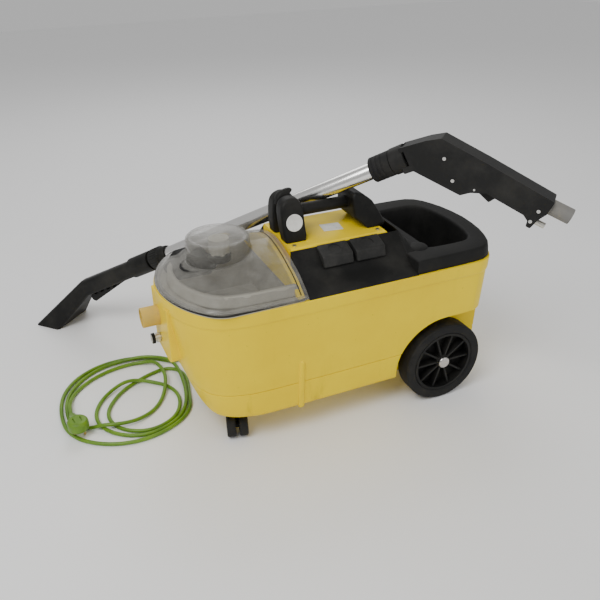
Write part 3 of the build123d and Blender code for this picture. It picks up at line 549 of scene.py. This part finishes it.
# CAD pieces that are shown as they are: a finish and softened edges
dressing = {
    'deck_cover': ('yellow', 2.5), 'console_near': ('black', 3), 'console_far': ('black', 3),
    'tray_frame': ('dark', 6), 'waste_tank': ('tank', 1.2), 'intake_pipe': ('stubYellow', 0.6),
    'spray_coupling': ('fitting', 0.2), 'coupling_collar': ('black', 0.2), 'handle': ('black', 8),
    'axle': ('steel', 0.5), 'axle_bushes': ('brass', 0.4), 'fresh_tank': ('milky', 2), 'tank_filter': ('steel', 0.5),
    'turbine_housing': ('motor', 1), 'turbine_fan': ('fitting', 0.4), 'motor_can': ('motor', 1),
    'spray_pump': ('black', 1), 'air_duct': ('rubber', 0.8), 'lid_seal': ('rubber', 0.4),
    'deck_plate': ('milky', 0.3), 'deck_screws': ('steel', 0.4), 'lead_gland': ('rubber', 0.8),
    'wheel_rim_near': ('black', 1.4), 'wheel_rim_far': ('black', 1.4), 'tyre_near': ('tyre', 5),
    'tyre_far': ('tyre', 5), 'hub_cap_near': ('cap', 1), 'hub_cap_far': ('cap', 1),
    'caster_fork_near': ('black', 1.2), 'caster_fork_far': ('black', 1.2), 'caster_pin_near': ('steel', 0.3),
    'caster_pin_far': ('steel', 0.3), 'caster_rollers_near': ('rubber', 2), 'caster_rollers_far': ('rubber', 2),
    'float_cage': ('tank', 0.5), 'float_ball': ('milky', 0), 'switch_suction': ('pads', 3),
    'switch_spray': ('pads', 3), 'nozzle_body': ('black', 2), 'spray_jet': ('brass', 0.4),
    'grip_sleeve': ('rubber', 0.9), 'grip_ring': ('grip', 1.5), 'grip_body': ('grip', 9),
    'hose_cuff': ('dust', 1), 'trigger_pin': ('steel', 0.3), 'wand_coupler': ('fitting', 0.4),
    'grip_screws': ('steel', 0.4), 'trigger': ('black', 1.5), 'plug_pins': ('brass', 0.5),
}


def dress(node, finish, width):
    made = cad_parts[node]
    if 'custom_normal' in made.data.attributes:
        made.data.attributes.remove(made.data.attributes['custom_normal'])
    made.data.materials.clear()
    made.data.materials.append(finishes[finish])
    weld = made.modifiers.new('joinEdges', 'WELD')
    weld.merge_threshold = 0.00002
    for face in made.data.polygons:
        face.use_smooth = True
    if width:
        bevel = made.modifiers.new('softEdges', 'BEVEL')
        bevel.width, bevel.segments, bevel.limit_method = width / 1000, 3, 'ANGLE'
        bevel.angle_limit, bevel.miter_outer = math.radians(40), 'MITER_ARC'
        bevel.use_clamp_overlap = True
    even = made.modifiers.new('evenShade', 'WEIGHTED_NORMAL')
    even.weight, even.keep_sharp = 60, False


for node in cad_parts:
    dress(node, *dressing.get(node, ('black', 1)))
print('CAD pieces dressed')


# The see-through lid: rim outline shrunk up the dome, with a round turret
dome = {'rear': -80, 'turret': (-195, 0),
        'profile': [(316, 1, 1), (322, 0.955, 0.985), (328, 0.9, 0.955), (334, 0.845, 0.925), (341, 0.78, 0.89),
                    (348, 0.69, 0.84), (354, 0.59, 0.78), (360, 0.495, 0.69), (365, 0.4, 0.6), (369.5, 0.3, 0.49),
                    (373, 0.2, 0.4), (375.4, 0.1, 0.33), (376.3, 0.001, 0.3)]}
rimHalf = [(p.x, p.y) for p in smoothPath([p for p in hull['rim'] if p[0] < -90] + [(-80, 157)], 4)]


def domeHeight(x, y):
    rows = dome['profile']

    def read(share):
        step = min(int(share), len(rows) - 2)
        part = share - step
        return [a + (b - a) * part for a, b in zip(rows[step], rows[step + 1])]
    low, high = 0.0, len(rows) - 1.0
    for _ in range(22):
        middle = (low + high) / 2
        z, ky, kx = read(middle)
        fx = dome['rear'] + (x - dome['rear']) / kx
        if fx >= -318 and abs(y) / ky <= between(rimHalf, fx):
            low = middle
        else:
            high = middle
    return read(low)[0]


def domeLoop(z, ky, kx, inset=0.0):
    half = [(dome['rear'] + (x - dome['rear']) * kx, y * ky) for x, y in rimHalf]
    line = [(x, -y) for x, y in reversed(half[1:])] + half
    if inset:
        middle = Vector((-150, 0))
        line = [tuple(Vector(p) - (Vector(p) - middle).normalized() * inset) for p in line]
    return [(x, y, z) for x, y in line]


def domeLid():
    x, y = dome['turret']
    edge = [(px, py) for px, py in rimHalf] + [(-80, 157 - 157 * k / 14) for k in range(1, 15)]
    edge = edge + [(px, -py) for px, py in reversed(edge[1:-1])]
    loops = []
    for k in range(25):
        share = 1 - (1 - k / 24) ** 1.7
        loop = []
        for px, py in edge:
            away = Vector((px - x, py - y))
            reach = 60.3 + (away.length - 60.3) * share
            qx, qy = x + away.x / away.length * reach, y + away.y / away.length * reach
            loop.append((qx, qy, domeHeight(min(max(qx, -317.9), -80.01), qy * 0.9999)))
        loops.append(loop)
    skin = rings('lidSkin', loops, 'clear', None, caps=(False, False), sharp=60)
    thick = skin.modifiers.new('thick', 'SOLIDIFY')
    thick.thickness, thick.offset = 0.0026, -1
    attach(skin, 'lid')
    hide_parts('dome_lid')
    # turret with its rounded shoulder and dished top
    rows = [('low', 60.5), (392, 60.5), (396.5, 59.6), (399, 57), (399.9, 53.5), (400, 50), (399.4, 44), (398.8, 30),
            (398.6, 12), (398.6, 0.2)]
    loops = []
    for level, radius in rows:
        loop = []
        for k in range(96):
            a = 2 * math.pi * k / 96
            px, py = x + radius * math.cos(a), y + radius * math.sin(a)
            loop.append((px, py, domeHeight(px, py) - 1.5 if level == 'low' else level))
        loops.append(loop)
    turret = rings('lidTurret', loops, 'clear', None, caps=(False, True), sharp=60)
    wall = turret.modifiers.new('thick', 'SOLIDIFY')
    wall.thickness, wall.offset = 0.0026, -1
    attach(turret, 'lid')
    # flange round the foot and the rear bulkhead edge
    foot = [domeLoop(313.9, 1, 1, 0.6), domeLoop(315, 1, 1), domeLoop(317.4, 1, 1), domeLoop(318, 0.995, 0.998),
            domeLoop(318, 0.93, 0.955), domeLoop(313.9, 0.93, 0.955), domeLoop(313.9, 1, 1, 0.6)]
    rings('lidFlange', foot, 'clear', 'lid', caps=(False, False), sharp=50, closed=False)
    seam = []
    for dx, drop in ((-12, 0.3), (-14, 0.6)):
        seam.append([(dome['rear'] + dx, y, domeHeight(dome['rear'] + dx, y) + drop) for y in range(-150, 151, 4)])
    rings('lidSeam', seam, 'rubber', 'lid', caps=(False, False), closed=False)


def lidInside():
    # yellow bulkhead following the dome just inside its rear edge
    outline = []
    for z, ky, kx in dome['profile']:
        outline.append((157 * ky - 5, z - 3.5))
    line = [(-max(y, 0), z) for y, z in outline] + [(max(y, 0), z) for y, z in reversed(outline)]
    bulkhead = prism('lidBulkhead', line, 'x', -98, -84, 'yellow', 'machine')
    soften(bulkhead, 2, 3)
    # ribbed inner wall of the tank insert
    wall = []
    for z, inset in ((316, 22), (318, 25), (331, 27), (334, 30), (334.6, 36)):
        loop = domeLoop(z, 1, 1)
        made = []
        for k, (px, py, pz) in enumerate(loop):
            out = (Vector((px, py)) - Vector((-150, 0)))
            rib = 2.2 if k % 5 == 0 and 318 <= z <= 331 else 0
            flat = out.normalized() * (out.length * (1 - inset / 168) + rib)
            made.append((-150 + flat.x, flat.y, z))
        wall.append(made)
    insert = rings('tankInsert', wall, 'tank', 'machine', caps=(False, False), closed=False, sharp=60)
    thick = insert.modifiers.new('thick', 'SOLIDIFY')
    thick.thickness = 0.002
    lathe('floatCup', [(0, 20), (1, 21.5), (12, 21.5), (14, 19), (40, 19), (43, 18), (44.5, 15), (44.5, 10),
                             (43, 9), (42, 0)], (-195, -6, 352), (0, 0, 1), 'black', 'lid')
    lathe('inletBowl', [(0, 0), (0, 30), (1.5, 33), (5, 34.5), (7, 34), (7.6, 31), (5, 28), (3.4, 18), (3, 0)],
                 (-238, -8, 346), (0, 0, 1), 'dark', 'machine')
    # dark wedge for the inlet deflector, which also stands in for the shadow under the black scoop: painted shadow as a
    # dark part
    outline = rounded([(-292, 314), (-262, 349), (-214, 354), (-200, 340), (-206, 314)], [6, 12, 10, 6, 4])
    deflectorShadow = prism('deflectorAndShadowWedge', outline, 'y', 18, 78, 'dark', 'machine')
    soften(deflectorShadow, 3, 3)


def handleDisc():
    # blank round label on the near face of the front post
    lean = math.atan(16 / 91)
    normal = Vector((0, -math.cos(lean), math.sin(lean)))
    lathe('handleDisc', [(-1, 16.4), (0.9, 16.4), (1.3, 16.1), (1.4, 15.4), (1.2, 14.8), (1.2, 0)],
          (-56, -39.6, 413), normal, 'milky', 'machine', steps=48, sharp=50)


domeLid()
lidInside()
handleDisc()
print('lid ready')


# Rear tray: D-shaped frame round the accessory well, one skin from outer foot to well floor
def tray():
    outer = [(150.8, 151), (180, 151), (235, 151), (278, 150), (302, 147), (320, 137), (333, 120), (343, 97), (351, 72),
             (357, 38), (360, 0)]
    inner = [(203, 100), (215, 103), (240, 104.5), (262, 105), (284, 104), (300, 98), (310, 84), (317, 62), (321, 38),
             (323, 18), (324, 0)]

    def whole(half, grow=0.0, z=0.0, middle=(255, 0)):
        line = half + [(x, -y) for x, y in reversed(half[:-1])]
        made = []
        for x, y in line:
            away = Vector((x - middle[0], y - middle[1]))
            away = away + away.normalized() * grow
            made.append((middle[0] + away.x, middle[1] + away.y, z))
        return made

    loops = [whole(outer, 3.6, 312.5), whole(outer, 4.2, 314), whole(outer, 3.4, 322), whole(outer, 1.6, 331),
             whole(outer, 0.4, 335), whole(outer, -1.6, 337.2), whole(outer, -5, 338),
             whole(inner, 6, 338), whole(inner, 2.4, 337.4), whole(inner, 0, 335), whole(inner, -1.2, 331),
             whole(inner, -3.4, 300), whole(inner, -8, 232), whole(inner, -10, 221), whole(inner, -16, 217.2),
             whole(inner, -30, 216.4), whole(inner, -85, 216)]
    skin = rings('traySkin', loops, 'dark', 'machine', caps=(False, True), sharp=55)
    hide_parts('tray_frame')
    # sloping wedge that brings the consoles and deck down to the frame
    for side in (-1, 1):
        rows = []
        for x, share in ((150.4, 1.0), (154, 0.93), (166, 0.5), (176, 0.16), (184, 0.03), (190, 0)):
            line = [(side * 155.4, 313), (side * 150, 322), (side * 118, 325.5), (side * 107, 338.5), (side * 71, 371),
                    (side * 60, 374), (0, 374.6)]
            rows.append([(x, y, min(z, 337.4) if z < 337.4 else 337.6 + (z - 337.6) * share) for y, z in line])
        wedge = rings(f'trayWedge{side}', rows, 'dark', 'machine', caps=(False, False), closed=False, sharp=50)
        thick = wedge.modifiers.new('thick', 'SOLIDIFY')
        thick.thickness, thick.offset = 0.0018, -1 if side < 0 else 1
    lathe('trayBump', [(0, 20), (1.2, 19.6), (3, 17), (4.4, 12), (5, 6), (5.1, 0)], (186, -91, 337.4), (0, 0, 1),
                 'dark', 'machine', steps=40)


# Push pads with dimpled tops
def pads():
    for label, start in (('suction', -27), ('spray', 42)):
        outline = rounded([(-71.6, 374.2), (-103.5, 363.2), (-109, 344), (-107.2, 342.4), (-73, 372.6)],
                          [2.5, 6, 3, 1, 1], 4)
        rows = []
        for x, share in ((0, 0.9), (0.8, 0.965), (2.4, 1), (59.6, 1), (61.2, 0.965), (62, 0.9)):
            rows.append([(start + x, -90 + (y + 90) * share, 356 + (z - 356) * share) for y, z in outline])
        pad = rings(f'{label}PadSkin', rows, 'pads', None, sharp=50)
        normal = Vector((0, -math.sin(math.radians(19)), math.cos(math.radians(19))))
        spot = Vector((start + 31, -87.5, 368.6))
        carve(pad, [lathe(f'{label}Dimple', [(-1.4, 11), (-1.0, 12.6), (6, 13.4)], spot, normal, 'pads', None,
                          steps=40)])
        tidyMesh(pad, 40)
        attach(pad, f'pad_{label}')
        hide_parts(f'switch_{label}')


# Handle posts: a rounded shield with a hooked crest in front, a leaning wedge behind, a round bar between
def handle():
    front = smoothPath([(-75.5, 376), (-78, 392), (-80, 415), (-80, 436), (-76, 449), (-67, 456), (-56, 458), (-44, 454),
                        (-37, 444), (-34.5, 428), (-33, 400), (-31, 384)], 4)
    front = [(p.x, p.y) for p in front] + [(-33, 376)]
    crest = smoothPath([(-78, 440), (-74, 454), (-64, 463), (-50, 466), (-42, 463.5), (-47, 459), (-56, 455), (-64, 447),
                        (-70, 434)], 4)
    crest = [(p.x, p.y) for p in crest]
    rear = rounded([(97, 376), (72, 398), (69, 440), (75, 449), (92, 444), (112, 428), (127, 404), (140, 376.5)],
                   [3, 12, 14, 10, 14, 26, 18, 4], 6)

    def post(name, outline, near, far, middle):
        rows = []
        for y, share in ((near, 0.82), (near + 0.9, 0.9), (near + 2.6, 0.955), (near + 5.4, 0.99), (near + 9, 1),
                         (far - 9, 1), (far - 5.4, 0.99), (far - 2.6, 0.955), (far - 0.9, 0.9), (far, 0.82)):
            row = []
            for x, z in outline:
                sx = middle[0] + (x - middle[0]) * share
                sz = z if z < 378 else middle[1] + (z - middle[1]) * share
                lean = (z - 376) / 90 * 13
                row.append((sx, y + (lean if y < 0 else -lean), sz))
            rows.append(row)
        return rings(name, rows, 'black', 'machine', sharp=50)
    last = post('postFront', front, -45, -14, (-56, 405))
    post('postFrontFar', front, 12, 44, (-56, 405))
    post('postCrest', crest, -14, 24, (-62, 448))
    post('postRear', rear, -45, 45, (103, 405))
    lathe('carryBar', [(0, 11.4), (2, 12), (4, 12), (5, 11.6), (7, 11.6), (8, 12), (118, 12), (119, 11.6), (121, 11.6),
                       (122, 12), (124, 12), (126, 11.4)], (-46, 0, 421), (1, 0, 0), 'black', 'machine', sharp=60)
    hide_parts('handle')


tray()
pads()
handle()
print('top pieces ready')


# Wand: drawn pipe and knurled nut, both turned round its own axis
def along(s, n=0.0):
    return Vector((s, n, wandHeight(s)))


wandAxis = Vector((math.cos(wandSlope), 0, math.sin(wandSlope)))


def wandPipe():
    size = {'start': -508, 'length': (116 + 508) / math.cos(wandSlope), 'radius': 16}
    reach, r = size['length'], size['radius']
    profile = [(0, r - 1.3), (0, r - 0.5), (0.6, r), (30, r), (31, r - 0.25), (33, r - 0.25), (34, r), (reach - 1, r),
               (reach, r - 0.6), (reach, r - 1.3)]
    pipe = lathe('drawnPipeSkin', profile, along(size['start']), wandAxis, 'pipe', 'wand', wandFrame, steps=64)
    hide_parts('wand_pipe')


def wandNut():
    size = {'start': -442, 'end': -398, 'inner': 17.1, 'ribs': 28}
    reach = (size['end'] - size['start']) / math.cos(wandSlope)
    side = Vector((0, 1, 0))
    other = wandAxis.cross(side)
    rows = [(0, 19), (0.5, 21.5), (2.5, 23.6), (5, 24.4), (reach * 0.62, 24.4), (reach * 0.66, 22.6),
            (reach * 0.72, 22.4), (reach - 3, 21.2), (reach - 0.8, 20.2), (reach, 18.6)]
    loops = []
    for distance, radius in rows:
        loop = []
        for k in range(size['ribs'] * 6):
            a = 2 * math.pi * k / (size['ribs'] * 6)
            deep = 1.1 * max(0, math.cos(a * size['ribs'])) if 3 < distance < reach * 0.63 else 0
            r = radius - 0.8 + deep
            loop.append(along(size['start']) + wandAxis * distance + (side * math.cos(a) + other * math.sin(a)) * r)
        loops.append(loop)
    bore = [along(size['start']) + wandAxis * d + (side * math.cos(a) + other * math.sin(a)) * size['inner']
            for d in (reach,) for a in [2 * math.pi * k / (size['ribs'] * 6) for k in range(size['ribs'] * 6)]]
    bore2 = [p - wandAxis * reach for p in bore]
    nut = rings('nutSkin', loops + [bore, bore2, loops[0]], 'black', 'nut', wandFrame, caps=(False, False), sharp=40)
    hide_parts('nozzle_nut')


wandPipe()
wandNut()
print('wand ready')


# Plug: pear-shaped moulding with two moulded slots
def plug():
    size = {'spot': (-500, 43), 'turn': math.radians(97), 'radius': 21, 'low': 19.4, 'high': 41}
    place = machineFrame @ Matrix.Translation((*size['spot'], 0)) @ Matrix.Rotation(size['turn'], 4, 'Z')
    r = size['radius']
    rows = [(19.4, 0.9), (19.8, 0.95), (21.4, 0.99), (24, 1), (33, 1), (36.4, 0.975), (39, 0.9), (40.4, 0.79),
            (40.9, 0.62), (41, 0.4)]
    loops = []
    for z, share in rows:
        loop = []
        for k in range(64):
            a = 2 * math.pi * k / 64
            pull = max(0, math.cos(a)) ** 6 * 5 * (1 - abs(z - 29) / 14)
            loop.append(((r * share + pull * share) * math.cos(a), r * share * math.sin(a), z))
        loops.append(loop)
    cap = rings('plugCap', loops, 'cord', None, place, sharp=60)
    neck = []
    for x, z, radius in ((12, 30, 11.5), (20, 29, 11), (26, 27.2, 9.4), (34, 24.4, 7.8), (46, 19.6, 6.4),
                         (58, 14.6, 5.4), (63, 12.6, 4.6)):
        ridge = 0.5 if x in (34, 46) else 0
        neck.append([(x, (radius + ridge) * math.cos(2 * math.pi * k / 24),
                      z + (radius + ridge) * 0.86 * math.sin(2 * math.pi * k / 24)) for k in range(24)])
    neckSkin = rings('plugNeck', neck, 'cord', 'machine', place, sharp=60)
    slots = [prism(f'plugSlot{s}', rounded([(-8, s * 7 - 1.2), (8, s * 7 - 1.2), (8, s * 7 + 1.2),
                                            (-8, s * 7 + 1.2)], 1.1),
                   'z', 38.5, 44, 'dark', None, place) for s in (-1, 1)]
    carve(cap, slots)
    tidyMesh(cap, 45)
    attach(cap, 'machine')
    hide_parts('plug_body')
    return cap, neckSkin


lead, leadExit, leadLength = addLead()
plug()
print('lead ready')


# Pale floor and soft studio light
def addStage():
    floor = Finish('studioFloor')
    paper = floor.noise(3, 3, 0.5)
    tone = floor.mix(paper * 0.05, (0.93, 0.93, 0.93), (0.86, 0.86, 0.86))
    floor.surface({'Base Color': tone, 'Roughness': 0.75})
    mesh = bpy.data.meshes.new('studioFloor')
    mesh.from_pydata([(-6, -6, 0), (6, -6, 0), (6, 6, 0), (-6, 6, 0)], [], [(0, 1, 2, 3)])
    ground = bpy.data.objects.new('studioFloor', mesh)
    mesh.materials.append(floor.material)
    bpy.context.scene.collection.objects.link(ground)
    ground.location.z = -0.0005
    lamps = {'key': ((-1.3, -1.1, 2.3), 1.2, 40), 'fill': ((1.2, -2.0, 1.3), 1.6, 8),
             'back': ((0.6, 1.9, 2.2), 1.6, 20)}
    for name, (place, size, power) in lamps.items():
        data = bpy.data.lights.new(name + 'Lamp', 'AREA')
        data.size, data.energy = size, power
        lamp = bpy.data.objects.new(name + 'Lamp', data)
        lamp.location = place
        lamp.rotation_euler = (Vector((0, 0, 0.2)) - Vector(place)).to_track_quat('-Z', 'Y').to_euler()
        bpy.context.scene.collection.objects.link(lamp)
    world = bpy.data.worlds.new('studioAir')
    world.use_nodes = True
    world.node_tree.nodes['Background'].inputs[0].default_value = (1, 1, 1, 1)
    world.node_tree.nodes['Background'].inputs[1].default_value = 0.52
    bpy.context.scene.world = world


addStage()
